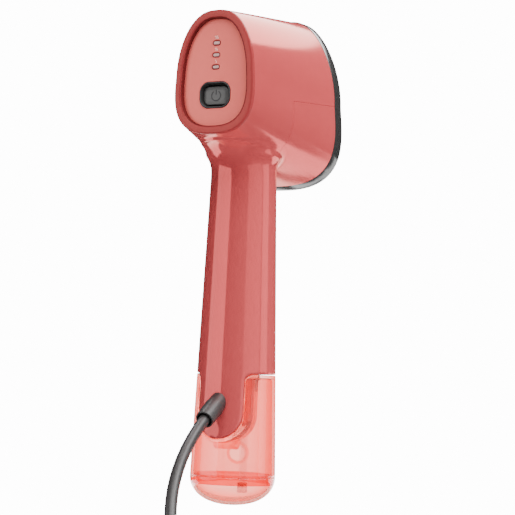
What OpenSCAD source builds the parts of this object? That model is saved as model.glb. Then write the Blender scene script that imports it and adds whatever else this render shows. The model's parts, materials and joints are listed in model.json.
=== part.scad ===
// Handheld garment steamer: head with a steam plate, round handle, clip-on water tank, mains lead.
// Millimetres, +Z up along the handle. The steam plate faces -Y and the control panel faces +Y.
// The origin is the middle of the hand grip. Heights named *_z are taken from the lowest point of
// the tank, and lower() brings each piece down so that the grip lands on the origin.

/* [Head] */
// Half width of the panel end of the head
rear_w = 25.4; // [24:0.1:27]
// Half height of the panel end
rear_h = 36.9; // [35:0.1:38]
// Half width of the steaming end of the head
front_w = 37; // [36:0.1:38]
// Half height of the steaming end
front_h = 56.3; // [55:0.1:57]
// Place of the panel end behind the handle axis
rear_y = 45.3; // [44:0.1:47]
// Place of the steaming end before the handle axis
front_y = -62.4; // [-64:0.1:-61]
// Lean of the steam plate, top forward
front_lean = 5.3; // [4:0.1:6]
// Wall of the housings
wall = 2.4; // [2:0.1:2.8]

/* [Handle] */
// Radius of the handle at the neck
neck_r = 20; // [19.5:0.1:20.5]
// Radius of the handle where the tank meets its base
foot_r = 25.6; // [25:0.1:26]
// Height of the hand grip's middle
grip_z = 150; // [140:1:160]

/* [Tank] */
// Height of the tank's top edge
tank_top_z = 78; // [76:0.5:79]
// Height of the seam between tank and base
seam_z = 17.3; // [16:0.1:18]
// Wall of the tank
tank_wall = 1.8; // [1.5:0.1:2]
// Half width of the U-shaped recess
recess_w = 14.7; // [14:0.1:15]
// Depth left in front of the recess, from the handle axis
recess_y = 5; // [4:0.5:6]

/* [Controls] */
// Width of the button's frame
frame_w = 20; // [19:0.1:21]
// Height of the button's frame
frame_h = 15.6; // [15:0.1:16]
// Depth of the panel below its bezel
panel_depth = 2; // [1.5:0.1:2.5]
// Spacing of the indicator lights
light_pitch = 7.2; // [7:0.1:7.5]

/* [Steam] */
// Radius of a steam hole
steam_hole_r = 1.5; // [1.2:0.1:1.8]
// Thickness of the steam plate
plate_t = 2.5; // [2:0.1:3]

/* [Lead] */
// Diameter of the mains lead
lead_d = 6.8; // [6.6:0.1:7]
// Turns side by side in the coil
coil_turns = 4; // [4:1:4]

/* [Hidden] */
$fn = 48;

coral = [0.80, 0.36, 0.34];
salmon = [0.84, 0.53, 0.48];
clear_red = [0.93, 0.55, 0.50, 0.6];
dark_grey = [0.24, 0.24, 0.24];
rubber_grey = [0.33, 0.31, 0.31];
steel = [0.72, 0.73, 0.75];
cast = [0.62, 0.63, 0.65];
silicone = [0.85, 0.84, 0.80];

rear_z = 254.5;             // height of the panel end's middle
front_z = 253.2;            // height of the steaming end's middle
rear_egg = 0.18;            // how much narrower than a plain oval the top is, at the panel end
front_egg = 0.329;          // and at the steaming end
egg_power = 2.6;            // squareness of the outlines
rim_t = 9;                  // depth of the black rim
bezel_t = 4;                // depth of the bezel ring
bezel_w = 5.1;              // width of the bezel ring
sides = 48;                 // points round an outline
gap = 0.3;                  // clearance between the tank and the handle

slope = (foot_r - neck_r) / (200 - seam_z);
floor_z = tank_top_z + gap; // underside of the handle above the tank
floor_t = 2.5;
recess_z = 39.5;            // bottom of the tank's recess
flange_up = 4.5;            // reach of the base's flange above the seam
flange_down = 4;            // and below it
tongue_w = recess_w - gap;
panel_y = rear_y - panel_depth;
button_z = -13.6;           // places on the panel, from its middle
light_z = 3.0;
spigot_y = -14;             // place of the water inlet before the handle axis
boss_x = 21;                // screw bosses that join the housings inside the head
boss_y = 12;
boss_z = 230;
filler_z = 30;              // height of the tank's filler
filler_turn = 20;           // and its turn from the front, which takes it past the pick-up tube

// ---------- shared shapes ----------

module lower() translate([0, 0, -grip_z]) children();

function handle_r(z) = neck_r + slope * (200 - z);
function mix(a, b, s) = a + (b - a) * s;
function power(v, p) = sign(v) * pow(abs(v), p);

// One point of an egg outline, narrower at the top: [sideways, up]
function egg_point(t, w, h, k) =
  [w * power(sin(t), 2 / egg_power) * (1 - k * cos(t)), h * power(cos(t), 2 / egg_power)];
function egg(w, h, k) = [for (i = [0:sides - 1]) egg_point(i * 360 / sides, w, h, k)];

// A section of the head at s, 0 at the panel end and 1 at the steaming end, made smaller by d
function head_ring(s, d) =
  let (w = mix(rear_w, front_w, s) - d, h = mix(rear_h, front_h, s) - d,
       k = mix(rear_egg, front_egg, s),
       lean = front_lean * max(0, min(1, (s - shell_start) / (shell_end - shell_start))),
       y = mix(rear_y, front_y, s), z = mix(rear_z, front_z, s))
  [for (p = egg(w, h, k)) [p[0], y - p[1] * sin(lean), z + p[1] * cos(lean)]];

// A section of the handle at height z, whose rear swells to meet the head
function neck_fillet(z, r) = z < 215 - r ? 0 : r - sqrt(max(0, r * r - pow(z - 215 + r, 2)));
function handle_ring(z, d) =
  let (r = handle_r(z) - d, back = min(neck_fillet(z, 20), 18), side = min(neck_fillet(z, 14), 3))
  [for (i = [0:sides - 1]) let (t = i * 360 / sides)
    [(r + side) * sin(t), cos(t) * (r + (cos(t) > 0 ? back : side * 0.5)), z]];

// A closed body through a list of outlines that all have the same number of points
module skin(rings) {
  n = len(rings[0]);
  last = len(rings) - 1;
  points = [for (ring = rings) each ring];
  around = [for (j = [0:last - 1]) for (i = [0:n - 1]) each let (a = j * n + i, b = j * n + (i + 1) % n)
    [[a, b, b + n], [a, b + n, a + n]]];
  caps = [[for (i = [n - 1:-1:0]) i], [for (i = [0:n - 1]) last * n + i]];
  polyhedron(points, concat(around, caps), convexity = 8);
}

// A rounded rectangle
function corner(cx, cy, r, from) = [for (a = [from:15:from + 90]) [cx + r * cos(a), cy + r * sin(a)]];
function rounded(w, h, r) = concat(
  corner(w / 2 - r, h / 2 - r, r, 0), corner(r - w / 2, h / 2 - r, r, 90),
  corner(r - w / 2, r - h / 2, r, 180), corner(w / 2 - r, r - h / 2, r, 270));

// Stands children on the panel end: their +Z points to the rear, +Y is up
module on_rear(y) translate([0, y, rear_z]) rotate([90, 0, 180]) children();

// Stands children in the steaming end at depth q behind its face: their +Z points forward
module in_front(q) translate([0, front_y, front_z]) rotate([90 + front_lean, 0, 0])
  translate([0, 0, -q]) children();
function front_point(z, q) = [0, front_y - z * sin(front_lean) + q * cos(front_lean),
  front_z + z * cos(front_lean) + q * sin(front_lean)];

module egg_plate(w, h, k, t) linear_extrude(t) polygon(egg(w, h, k));

// A round bar swept along a list of points, as one body
function unit(v) = v / norm(v);
function heading(p, i) = unit(p[min(i + 1, len(p) - 1)] - p[max(i - 1, 0)]);
function frames(p, i = 0, side = [1, 0, 0]) =
  let (d = heading(p, i), u = unit(side - (side * d) * d))
  i == len(p) - 1 ? [u] : concat([u], frames(p, i + 1, u));
function spline(p, n) = [for (i = [0:len(p) - 2]) for (j = [0:n - 1])
  let (t = j / n, a = p[max(i - 1, 0)], b = p[i], c = p[i + 1], d = p[min(i + 2, len(p) - 1)])
  (2 * b + (c - a) * t + (2 * a - 5 * b + 4 * c - d) * t * t + (3 * b - a - 3 * c + d) * t * t * t) / 2];
function bend(p, t) = len(p) == 1 ? p[0] : bend([for (i = [0:len(p) - 2]) mix(p[i], p[i + 1], t)], t);
function bend_line(p, n) = [for (i = [0:n]) bend(p, i / n)];
module tube(route, r, n, steps) {
  p = steps > 1 ? concat(spline(route, steps), [route[len(route) - 1]]) : route;
  u = frames(p);
  skin([for (i = [0:len(p) - 1]) let (d = heading(p, i), v = cross(u[i], d))
    [for (j = [0:n - 1]) p[i] + r * (cos(j * 360 / n) * u[i] + sin(j * 360 / n) * v)]]);
}

// ---------- housings ----------

handle_heights = [floor_z, 120, 160, 195, 199, 203, 206, 209, 211, 213, 214.5, 222];
head_steps = 10;
shell_end = 1 - (rim_t + 0.3) / (rear_y - front_y);
shell_start = bezel_t / (rear_y - front_y);

module head_body(d, from, to)
  skin([for (i = [0:head_steps]) head_ring(mix(from, to, i / head_steps), d)]);
module handle_body(d, bottom)
  skin([for (z = concat([bottom], [for (h = handle_heights) if (h > bottom) h])) handle_ring(z, d)]);
module u_profile(w, bottom, top) {
  translate([-w, bottom + w]) square([2 * w, top - bottom - w]);
  translate([0, bottom + w]) circle(w);
}
// A U-shaped block from y0 rearwards, trimmed to the handle's round
module tongue(w, y0, d, bottom, top) intersection() {
  translate([0, 60, 0]) rotate([90, 0, 0]) linear_extrude(60 - y0) u_profile(w, bottom, top);
  translate([0, 0, 20]) cylinder(h = 80, r1 = handle_r(20) - d, r2 = handle_r(100) - d);
}

// What the front housing takes: the front half of the handle and the low front of the head
module front_share(play) {
  mid_y = -1 - play;
  translate([-60, -80, 60]) cube([120, 80 + mid_y, 172]);
  translate([60, mid_y, 230]) rotate([0, -90, 0]) linear_extrude(120)
    polygon([[0, 0], [14 - play, 0], [22 - play, -70], [0, -70]]);
}
// A screw boss along Y with a rib that ties it to the side of the head
module boss(side) {
  translate([side * boss_x, boss_y, boss_z]) rotate([90, 0, 0]) cylinder(h = 24, r = 3.4);
  translate([side * 30 - 8, boss_y - 24, boss_z - 1]) cube([16, 24, 2]);
}

module whole_shell() {
  difference() {
    union() {
      head_body(0, shell_start, shell_end);
      handle_body(0, floor_z);
      tongue(tongue_w, recess_y + gap, 0, recess_z + gap, floor_z + 10);
    }
    head_body(wall, shell_start - 0.02, shell_end + 0.02);
    handle_body(wall, floor_z + floor_t);
    tongue(tongue_w - 2.2, recess_y + 2.5, wall, recess_z + 2.5, floor_z + 8);
    translate([0, spigot_y, floor_z - 1]) cylinder(h = 6, r = 4.2);
    bushing_place() translate([0, 0, -14]) cylinder(h = 20, r = 5.6);
  }
  intersection() {
    union() {
      for (x = [-1, 1]) boss(x);
      for (x = [-1, 1]) translate([x * 13, -10, floor_z]) cylinder(h = 14, r = 3.4);
    }
    union() {
      head_body(1, shell_start, shell_end);
      handle_body(1, floor_z);
    }
  }
}
module screw_holes() {
  for (x = [-1, 1]) translate([x * boss_x, boss_y + 0.1, boss_z]) rotate([90, 0, 0])
    cylinder(h = 20, r = 1.5);
  for (x = [-1, 1]) translate([x * 13, -10, floor_z - 1]) cylinder(h = 12, r = 1.5);
  for (x = [-1, 1]) translate([x * 13, -10, floor_z - 1]) cylinder(h = 2.8, r = 3);
}

module rear_housing() color(coral) lower() resize([0, 0, 0]) difference() {
  whole_shell();
  front_share(0);
  screw_holes();
}
module front_housing() color(coral) lower() resize([0, 0, 0]) difference() {
  intersection() {
    whole_shell();
    front_share(0.15);
  }
  screw_holes();
}
module rear_bezel() color(coral) lower() on_rear(rear_y - bezel_t) difference() {
  egg_plate(rear_w, rear_h, rear_egg, bezel_t);
  translate([0, 0, -1]) egg_plate(rear_w - bezel_w, rear_h - bezel_w, rear_egg, bezel_t + 2);
}
module front_rim() color(dark_grey) lower() in_front(rim_t) difference() {
  egg_plate(front_w, front_h, front_egg, rim_t);
  translate([0, 0, -1]) egg_plate(front_w - 4.4, front_h - 4.6, front_egg, rim_t + 2);
}
module housing_screws() color(steel) lower() {
  for (x = [-1, 1]) translate([x * boss_x, boss_y, boss_z]) rotate([90, 0, 0]) {
    translate([0, 0, -1.8]) cylinder(h = 1.8, r = 2.8);
    cylinder(h = 18, r = 1.45);
  }
  for (x = [-1, 1]) translate([x * 13, -10, floor_z + 0.2]) {
    cylinder(h = 1.6, r = 2.8);
    cylinder(h = 10, r = 1.45);
  }
}

// ---------- controls ----------

module control_panel() color(salmon) lower() on_rear(panel_y - 2) {
  difference() {
    egg_plate(rear_w - bezel_w - 0.15, rear_h - bezel_w - 0.15, rear_egg, 2);
    translate([0, button_z, -1]) linear_extrude(4) polygon(rounded(frame_w + 0.2, frame_h + 0.2, 6));
    for (i = [0:2]) translate([0, light_z + i * light_pitch, -1])
      linear_extrude(4) polygon(rounded(5.2, 3, 1.45));
  }
  for (z = [-25.5, 25.5]) translate([0, z, -10.2]) difference() {
    cylinder(h = 10.2, r = 2.6);
    translate([0, 0, -1]) cylinder(h = 8, r = 1.1);
  }
}
module button_frame() color(dark_grey) lower() on_rear(panel_y - 6) translate([0, button_z, 0])
  difference() {
    linear_extrude(6) polygon(rounded(frame_w, frame_h, 5.9));
    translate([0, 0, -1]) linear_extrude(8) polygon(rounded(frame_w - 2.6, frame_h - 3.6, 4));
    translate([0, 0, 4.8]) linear_extrude(4) polygon(rounded(frame_w - 1.2, frame_h - 1.4, 5));
  }
module power_button() color(dark_grey) lower() on_rear(panel_y - 2.2) translate([0, button_z, 0])
  difference() {
    union() {
      translate([0, 0, -4.1]) linear_extrude(4.1) polygon(rounded(frame_w - 3.2, frame_h - 4.2, 3.7));
      translate([0, 0, -5.1]) linear_extrude(1) polygon(rounded(frame_w - 1.4, frame_h - 2.4, 4));
    }
    translate([0, 0, -0.3]) difference() {
      cylinder(h = 1, r = 3.1);
      translate([0, 0, -1]) cylinder(h = 3, r = 2.5);
      translate([-1.1, 0, -1]) cube([2.2, 5, 3]);
    }
    translate([-0.3, 0.4, -0.3]) cube([0.6, 3.2, 1]);
  }
board_y = panel_y - 13.8;
module switch_plunger() color("white") lower() on_rear(panel_y - 7.3 - 2.6)
  translate([0, button_z, 0]) cylinder(h = 2.6, r = 1.6);
module tact_switch() color("dimgray") lower() on_rear(board_y + 1.6) translate([0, button_z, 0])
  difference() {
    translate([-3.1, -3.1, 0]) cube([6.2, 6.2, 3.4]);
    translate([0, 0, 0.8]) cylinder(h = 4, r = 1.75);
  }
module control_board() color("darkgreen") lower() on_rear(board_y) difference() {
  linear_extrude(1.6) polygon(rounded(24, 58, 4));
  for (z = [-25.5, 25.5]) translate([0, z, -1]) cylinder(h = 4, r = 1.2);
}
module board_screws() color(steel) lower() on_rear(board_y) for (z = [-25.5, 25.5])
  translate([0, z, 0]) {
    translate([0, 0, -1.5]) cylinder(h = 1.5, r = 2.2);
    cylinder(h = 7, r = 1.05);
  }
module indicator_leds() color("white") lower() on_rear(board_y + 1.6) for (i = [0:2])
  translate([-1.6, light_z + i * light_pitch - 0.8, 0]) cube([3.2, 1.6, 1.2]);
module light_guide() color("mistyrose") lower() on_rear(panel_y) {
  for (i = [0:2]) translate([0, light_z + i * light_pitch, -9]) linear_extrude(9)
    polygon(rounded(5, 2.8, 1.35));
  translate([-4.5, light_z - 4, -3.6]) cube([9, 2 * light_pitch + 8, 1.4]);
}

// ---------- steam unit ----------

element_r = 15;
post_places = [[-19, -28], [19, -28], [-12.5, 28], [12.5, 28]];

module steam_plate() color(steel) lower() in_front(plate_t - 1.2) difference() {
  egg_plate(front_w - 5.2, front_h - 5.6, front_egg, plate_t);
  for (i = [0:8]) translate([17 * sin(i * 30 - 120), 20 * cos(i * 30 - 120) + 6, -1])
    cylinder(h = plate_t + 2, r = steam_hole_r);
  for (i = [0:4]) translate([23 * sin(100 + i * 40), 26 * cos(100 + i * 40) - 8, -1])
    cylinder(h = plate_t + 2, r = steam_hole_r);
}
module plate_seal() color(silicone) lower() in_front(3.3) difference() {
  egg_plate(front_w - 6, front_h - 6.4, front_egg, 2);
  translate([0, 0, -1]) egg_plate(front_w - 9, front_h - 9.4, front_egg, 4);
}
module boiler() color(cast) lower() difference() {
  union() {
    in_front(6.3) egg_plate(front_w - 6, front_h - 6.4, front_egg, 3);
    in_front(19.3) egg_plate(front_w - 9.5, front_h - 11, front_egg, 13.1);
    for (p = post_places) in_front(24) translate([p[0], p[1], 0]) cylinder(h = 5, r = 3.2);
  }
  in_front(13.3) egg_plate(front_w - 12.5, front_h - 14, front_egg, 12);
  for (p = post_places) in_front(25) translate([p[0], p[1], 0]) cylinder(h = 9, r = 1.4);
  element_shape(3.25);
  in_front(21) translate([0, -33, 0]) cylinder(h = 9, r = 3.3);
}
module element_shape(r) in_front(19.6) {
  translate([0, -8, 0]) rotate([0, 0, 180]) rotate_extrude(angle = 180) translate([element_r, 0]) circle(r);
  for (x = [-1, 1]) translate([x * element_r, -8, 0]) rotate([-90, 0, 0]) cylinder(h = 26, r = r);
}
module heating_element() color("dimgray") lower() {
  element_shape(3.2);
  for (x = [-1, 1]) in_front(32) translate([x * element_r, 14, 0]) cylinder(h = 12.4, r = 1.8);
}
module heat_shield() color("silver") lower() in_front(26) difference() {
  egg_plate(front_w - 8, front_h - 9.5, front_egg, 2);
  translate([0, 4, -1]) cylinder(h = 4, r = 8.6);
  translate([0, -33, -1]) cylinder(h = 4, r = 3.8);
  for (x = [-1, 1]) translate([x * element_r, 14, -1]) cylinder(h = 4, r = 3);
  for (p = post_places) translate([p[0], p[1], -1]) cylinder(h = 4, r = 1.7);
}
module boiler_screws() color(steel) lower() for (p = post_places) in_front(28)
  translate([p[0], p[1], 0]) {
    cylinder(h = 2, r = 2.7);
    cylinder(h = 10, r = 1.35);
  }
module thermostat() color("ivory") lower() in_front(28.4) translate([0, 4, 0]) {
  cylinder(h = 9, r = 8);
  for (x = [-1, 1]) translate([x * 4 - 0.4, -3, -7]) cube([0.8, 6, 7.5]);
}
module thermal_fuse() color("gainsboro") lower() in_front(21.5) translate([-6, 21, 0])
  rotate([0, 90, 0]) cylinder(h = 12, r = 2);
module boiler_inlet() color("goldenrod") lower() in_front(30) translate([0, -33, 0]) difference() {
  union() {
    cylinder(h = 16, r = 3.2);
    translate([0, 0, 9.2]) cylinder(h = 1.4, r = 5);
  }
  translate([0, 0, -1]) cylinder(h = 18, r = 1.6);
}
module delivery_hose() color(silicone) lower()
  tube([[0, 0, 178.3], [0, 0, 192], [0, -3, 206], [0, -10, 217], [0, -18, 221], front_point(-33, 34),
    front_point(-33, 30.4)],
    2.6, 8, 3);

// ---------- pump ----------

pump_z = 112;
module pump_body() color("white") lower() difference() {
  union() {
    translate([0, 0, pump_z]) cylinder(h = 58, r = 6.5);
    translate([0, 0, pump_z - 8]) cylinder(h = 74, r = 2.2);
  }
  translate([0, 0, pump_z + 6]) cylinder(h = 46, r = 4.4);
}
module pump_coil() color("peru") lower() translate([0, 0, pump_z + 14]) difference() {
  cylinder(h = 28, r = 12.6);
  translate([0, 0, -1]) cylinder(h = 30, r = 6.6);
}
module pump_yoke() color(steel) lower() difference() {
  translate([-11, -10, pump_z + 12]) cube([26, 20, 32]);
  translate([-20, -20, pump_z + 13.8]) cube([33, 40, 28.4]);
  translate([0, 0, pump_z]) cylinder(h = 60, r = 6.7);
}
module pump_mounts() color(dark_grey) lower() for (m = [[pump_z + 1, 19.8], [pump_z + 49, 18.2]])
  translate([0, 0, m[0]]) difference() {
    cylinder(h = 6, r = m[1]);
    translate([0, 0, -1]) cylinder(h = 8, r = 6.6);
    translate([-8, 11, -1]) cube([16, 12, 8]);
  }
module pump_plunger() color("silver") lower() translate([0, 0, pump_z + 17]) cylinder(h = 24, r = 4.1);
module spring(z, h) translate([0, 0, z]) difference() {
  cylinder(h = h, r = 3.9);
  translate([0, 0, -1]) cylinder(h = h + 2, r = 3.1);
}
module pump_spring_low() color(steel) lower() spring(pump_z + 6, 11);
module pump_spring_top() color(steel) lower() spring(pump_z + 41, 11);
module suction_hose() color(silicone) lower()
  tube([[0, spigot_y, 90.3], [0, spigot_y, 93], [0, -10, 96.5], [0, -4, 98], [0, 0, 101],
    [0, 0, pump_z - 8.3]], 2.4, 8, 3);
module inlet_spigot() color("white") lower() translate([0, spigot_y, 0]) difference() {
  union() {
    translate([0, 0, 72]) cylinder(h = 18, r = 2.4);
    translate([0, 0, 72]) cylinder(h = 2, r = 4);
    translate([0, 0, 76]) cylinder(h = 7, r = 4);
    translate([0, 0, 73]) cylinder(h = 4, r = 3.3);
    translate([0, 0, floor_z + floor_t]) cylinder(h = 2, r = 6);
  }
  translate([0, 0, 71]) cylinder(h = 20, r = 1.4);
}
module spigot_seal() color("black") lower() translate([0, spigot_y, 75]) rotate_extrude()
  translate([4.2, 0]) circle(0.8);

// ---------- lead: bushing, clamp and inner leads ----------

bushing_drop = 31;          // how far the bushing points below the horizontal
bushing_end = 18.4;         // reach of the bushing outside the handle
bushing_top = [0, 24.5, 60.3];
module bushing_place() translate(bushing_top) rotate([90 + bushing_drop, 0, 180]) children();

module cord_bushing() color(rubber_grey) lower() bushing_place() difference() {
  union() {
    translate([0, 0, 3.6]) cylinder(h = bushing_end - 3.6, r1 = 5.8, r2 = 5.4);
    translate([0, 0, -9]) cylinder(h = 13, r = 5.4);
    translate([0, 0, -11]) cylinder(h = 2.4, r = 7.2);
  }
  translate([0, 0, bushing_end - 5]) cylinder(h = 6, r = 4.4);
}
module cord_clamp() color(dark_grey) lower() translate([-11, 8.2, 76]) difference() {
  cube([22, 4, 6]);
  for (x = [3, 19]) translate([x, 5, 3]) rotate([90, 0, 0]) cylinder(h = 6, r = 1.3);
}
module clamp_screws() color(steel) lower() for (x = [-8, 8]) translate([x, 14, 79])
  rotate([90, 0, 0]) {
    cylinder(h = 1.7, r = 2.4);
    cylinder(h = 5.6, r = 1.2);
  }
module inner_leads() color("saddlebrown") lower() for (x = [-3, 3])
  tube([[x * 0.8, 14.4, 66.4], [x * 1.2, 10.6, 70], [x * 1.4, 13.8, 75.5], [x * 1.4, 16.5, 83],
    [x, 17, 100], [x, 16.2, 150], [x, 15.5, 185], [x, 12, 210], [x * 2, 4, 235], [x * 3, 6, 250]],
    1.2, 6, 2);

// ---------- tank ----------

module tank_body() color(clear_red) lower() difference() {
  translate([0, 0, seam_z]) cylinder(h = tank_top_z - seam_z, r1 = foot_r, r2 = handle_r(tank_top_z));
  difference() {
    translate([0, 0, seam_z - 0.01])
      cylinder(h = tank_top_z - seam_z - 2, r1 = foot_r - tank_wall, r2 = handle_r(tank_top_z) - tank_wall);
    translate([0, 60, 0]) rotate([90, 0, 0]) linear_extrude(60 - recess_y + tank_wall)
      u_profile(recess_w + tank_wall, recess_z - tank_wall, 90);
  }
  translate([0, 60, 0]) rotate([90, 0, 0]) linear_extrude(60 - recess_y) u_profile(recess_w, recess_z, 90);
  translate([0, spigot_y, 70]) cylinder(h = 10, r = 7.05);
  translate([0, 0, filler_z]) rotate([90, 0, filler_turn]) translate([0, 0, 10]) cylinder(h = 20, r = 5.1);
}
// The base is one turned profile: a flat dome with an upright flange inside the tank wall
function dome(r, z0, a) = [r * power(sin(a), 0.9), seam_z - (seam_z - z0) * power(cos(a), 0.9)];
module tank_base() color(clear_red) lower() rotate_extrude() polygon(concat(
  [for (a = [0:6:90]) dome(foot_r, 0, a)],
  [[foot_r - 2.05, seam_z], [foot_r - 2.05, seam_z + flange_up], [foot_r - 3.5, seam_z + flange_up],
   [foot_r - 3.5, seam_z - flange_down]],
  [for (a = [66:-6:0]) dome(foot_r - 1.9, tank_wall, a)]));
module tank_port() color(silicone) lower() translate([0, spigot_y, 0]) difference() {
  translate([0, 0, 68]) cylinder(h = 10, r = 7);
  translate([0, 0, 71]) cylinder(h = 8, r = 5.1);
  translate([0, 0, 60]) cylinder(h = 12, r = 2.7);
}
module pickup_tube() color(clear_red) lower() translate([0, spigot_y, 9.6]) difference() {
  cylinder(h = 61.4, r = 2.65);
  translate([0, 0, -1]) cylinder(h = 64, r = 1.8);
}
module suction_filter() color(coral) lower() translate([0, spigot_y, 6.1]) difference() {
  cylinder(h = 6.5, r = 3.2);
  translate([0, 0, 3.5]) cylinder(h = 4, r = 2.66);
}
module filler_plug() color(coral) lower() translate([0, 0, filler_z]) rotate([90, 0, filler_turn]) {
  translate([0, 0, 20]) cylinder(h = 6, r = 4.8);
  translate([0, 0, 25.8]) cylinder(h = 1.6, r = 7);
  translate([-2, 6, 25.8]) cube([4, 4, 1.6]);
}

// ---------- free lead ----------

surface_z = -70;            // the surface that the coil lies on
coil_y = 79;
coil_r = 40;
lead_r = lead_d / 2;
// Pull points of the free stretches: from the bushing to the coil, and from the coil to the plug
lead_pull = [[0, 36.2, 53.3], [0, 148.5, -14.2], [-61, 115, -52], [-27, 108, -50], [-49.4, 108, -66.6],
  [-49.4, 79, -66.6]];
end_pull = [[0, 27.9, -59.8], [49, 27.9, -59.8], [51, 40, -51], [74, 49, -51.5], [74, 74.8, -51.5]];
plug_x = 74;
plug_y = 75;
plug_z0 = -51.5;
module along_plug(d) translate([plug_x, plug_y + d, plug_z0]) rotate([-90, 0, 0]) children();

module power_cord() color(rubber_grey) lower() tube(bend_line(lead_pull, 26), lead_r, 10, 1);
module cord_coil() color(rubber_grey) lower() translate([0, coil_y, surface_z]) rotate_extrude($fn = 64)
  translate([coil_r - coil_turns * lead_r, 0]) square([coil_turns * lead_d, 2 * lead_d]);
module cord_tie() color("black") lower() translate([0, coil_y, surface_z]) rotate([0, 0, 40])
  rotate_extrude(angle = 18, $fn = 64) difference() {
    translate([coil_r - coil_turns * lead_r - 1, -1]) square([coil_turns * lead_d + 2, 2 * lead_d + 2]);
    translate([coil_r - coil_turns * lead_r - 0.1, -0.1])
      square([coil_turns * lead_d + 0.2, 2 * lead_d + 0.2]);
  }
module cord_end() color(rubber_grey) lower() tube(bend_line(end_pull, 14), lead_r, 10, 1);
module plug_sleeve() color(rubber_grey) lower() along_plug(0) rotate_extrude()
  polygon([[0, 0], [4.6, 0], [6.8, 30], [0, 30]]);
module plug_body() color(rubber_grey) lower() along_plug(30) difference() {
  rotate_extrude() polygon([[0, 0], [10, 0], [12.5, 8], [15, 20], [18.4, 26], [18.4, 38], [0, 38]]);
  translate([0, 6, 28]) cylinder(h = 20, r = 2.6);
  for (a = [0, 180]) rotate([0, 0, a]) translate([16.9, -3, 24]) cube([5, 6, 20]);
}
module plug_pins() color(steel) lower() along_plug(68) for (x = [-9.5, 9.5])
  translate([x, 0, 0]) cylinder(h = 19, r = 2.4);

rear_housing();
front_housing();
rear_bezel();
control_panel();
button_frame();
power_button();
light_guide();
indicator_leds();
control_board();
board_screws();
tact_switch();
switch_plunger();
front_rim();
steam_plate();
plate_seal();
boiler();
heating_element();
heat_shield();
boiler_screws();
thermostat();
thermal_fuse();
boiler_inlet();
delivery_hose();
pump_body();
pump_coil();
pump_yoke();
pump_mounts();
pump_plunger();
pump_spring_low();
pump_spring_top();
suction_hose();
inlet_spigot();
spigot_seal();
housing_screws();
cord_bushing();
cord_clamp();
clamp_screws();
inner_leads();
tank_body();
tank_base();
tank_port();
pickup_tube();
suction_filter();
filler_plug();
power_cord();
cord_coil();
cord_tie();
cord_end();
plug_sleeve();
plug_body();
plug_pins();
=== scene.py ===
# Looks of the handheld garment steamer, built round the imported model.
# Shapes are worked out in millimetres, at heights above the lowest point of the tank, and to_frame()
# brings them into the row frame, whose origin is the middle of the hand grip.
import json
import math

import bmesh
import bpy
import numpy as np
from mathutils import Matrix, Vector


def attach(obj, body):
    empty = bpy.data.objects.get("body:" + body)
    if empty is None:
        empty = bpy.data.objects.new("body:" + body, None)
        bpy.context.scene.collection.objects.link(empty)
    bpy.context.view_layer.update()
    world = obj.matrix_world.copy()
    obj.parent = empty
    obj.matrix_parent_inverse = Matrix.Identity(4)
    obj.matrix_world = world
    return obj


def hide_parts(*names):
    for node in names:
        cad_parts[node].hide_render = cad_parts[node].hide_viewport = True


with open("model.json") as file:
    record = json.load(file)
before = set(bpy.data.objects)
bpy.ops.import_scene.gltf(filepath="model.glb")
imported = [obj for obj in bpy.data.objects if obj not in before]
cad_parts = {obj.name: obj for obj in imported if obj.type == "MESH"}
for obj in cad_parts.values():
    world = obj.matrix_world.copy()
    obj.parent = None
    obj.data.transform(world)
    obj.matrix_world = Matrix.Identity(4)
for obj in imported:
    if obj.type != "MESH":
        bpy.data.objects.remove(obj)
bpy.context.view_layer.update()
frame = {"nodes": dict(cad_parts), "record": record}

MM = 0.001
GRIP_Z = 150.0  # the height of the frame's origin

# The head: half width, half height, place, height and egg shape of its outline at either end.
REAR_W, REAR_H, REAR_Y, REAR_Z, REAR_EGG = 25.4, 36.9, 45.3, 254.5, 0.18
FRONT_W, FRONT_H, FRONT_Y, FRONT_Z, FRONT_EGG = 37.0, 56.3, -62.4, 253.2, 0.329
FRONT_LEAN = math.radians(5.3)
EGG_POWER = 2.6
HEAD_LENGTH = REAR_Y - FRONT_Y
FLARE_W = (FRONT_W - REAR_W) / HEAD_LENGTH
FLARE_H = (FRONT_H - REAR_H) / HEAD_LENGTH
RIM_T = 9.0
PLATE_INSET_W, PLATE_INSET_H, PLATE_T = 5.2, 5.6, 2.5
HOLE_R = 1.5

# The panel end: the housing's edge reaches BEZEL_STEP up the bezel's outside.
BEZEL_T, BEZEL_W, BEZEL_STEP = 4.0, 4.3, 2.2
PANEL_DEPTH, PANEL_T, PANEL_BOW, PANEL_GROOVE = 2.0, 2.0, 0.7, 0.5
PANEL_Y = REAR_Y - PANEL_DEPTH
BUTTON_Z, LIGHT_Z, LIGHT_PITCH = -13.6, 3.0, 7.2
FRAME_W, FRAME_H, FRAME_R = 20.0, 15.6, 5.9
CAP_W, CAP_H, CAP_R, CAP_TOP = FRAME_W - 3.2, FRAME_H - 4.2, 3.7, -1.9
SYMBOL_R, SYMBOL_LINE, SYMBOL_GAP = 3.25, 0.65, 32
LIGHT_W, LIGHT_H, LIGHT_R = 5.0, 2.8, 1.35

# The housing's wall. Its two shells part along an upright line at PART_Y, up to PART_Z, and from there
# along a line that rises a little toward the front.
SHELL_WALL, EDGE_R = 2.2, 0.9
SHELL_START = BEZEL_T / HEAD_LENGTH
SHELL_END = 1 - (RIM_T + 0.3) / HEAD_LENGTH
PART_Y, PART_Z, PART_RISE, PART_GAP = -1.0, 244.0, 8 / 70, 0.15
COLUMN_TOP_Z = 228.0

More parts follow.
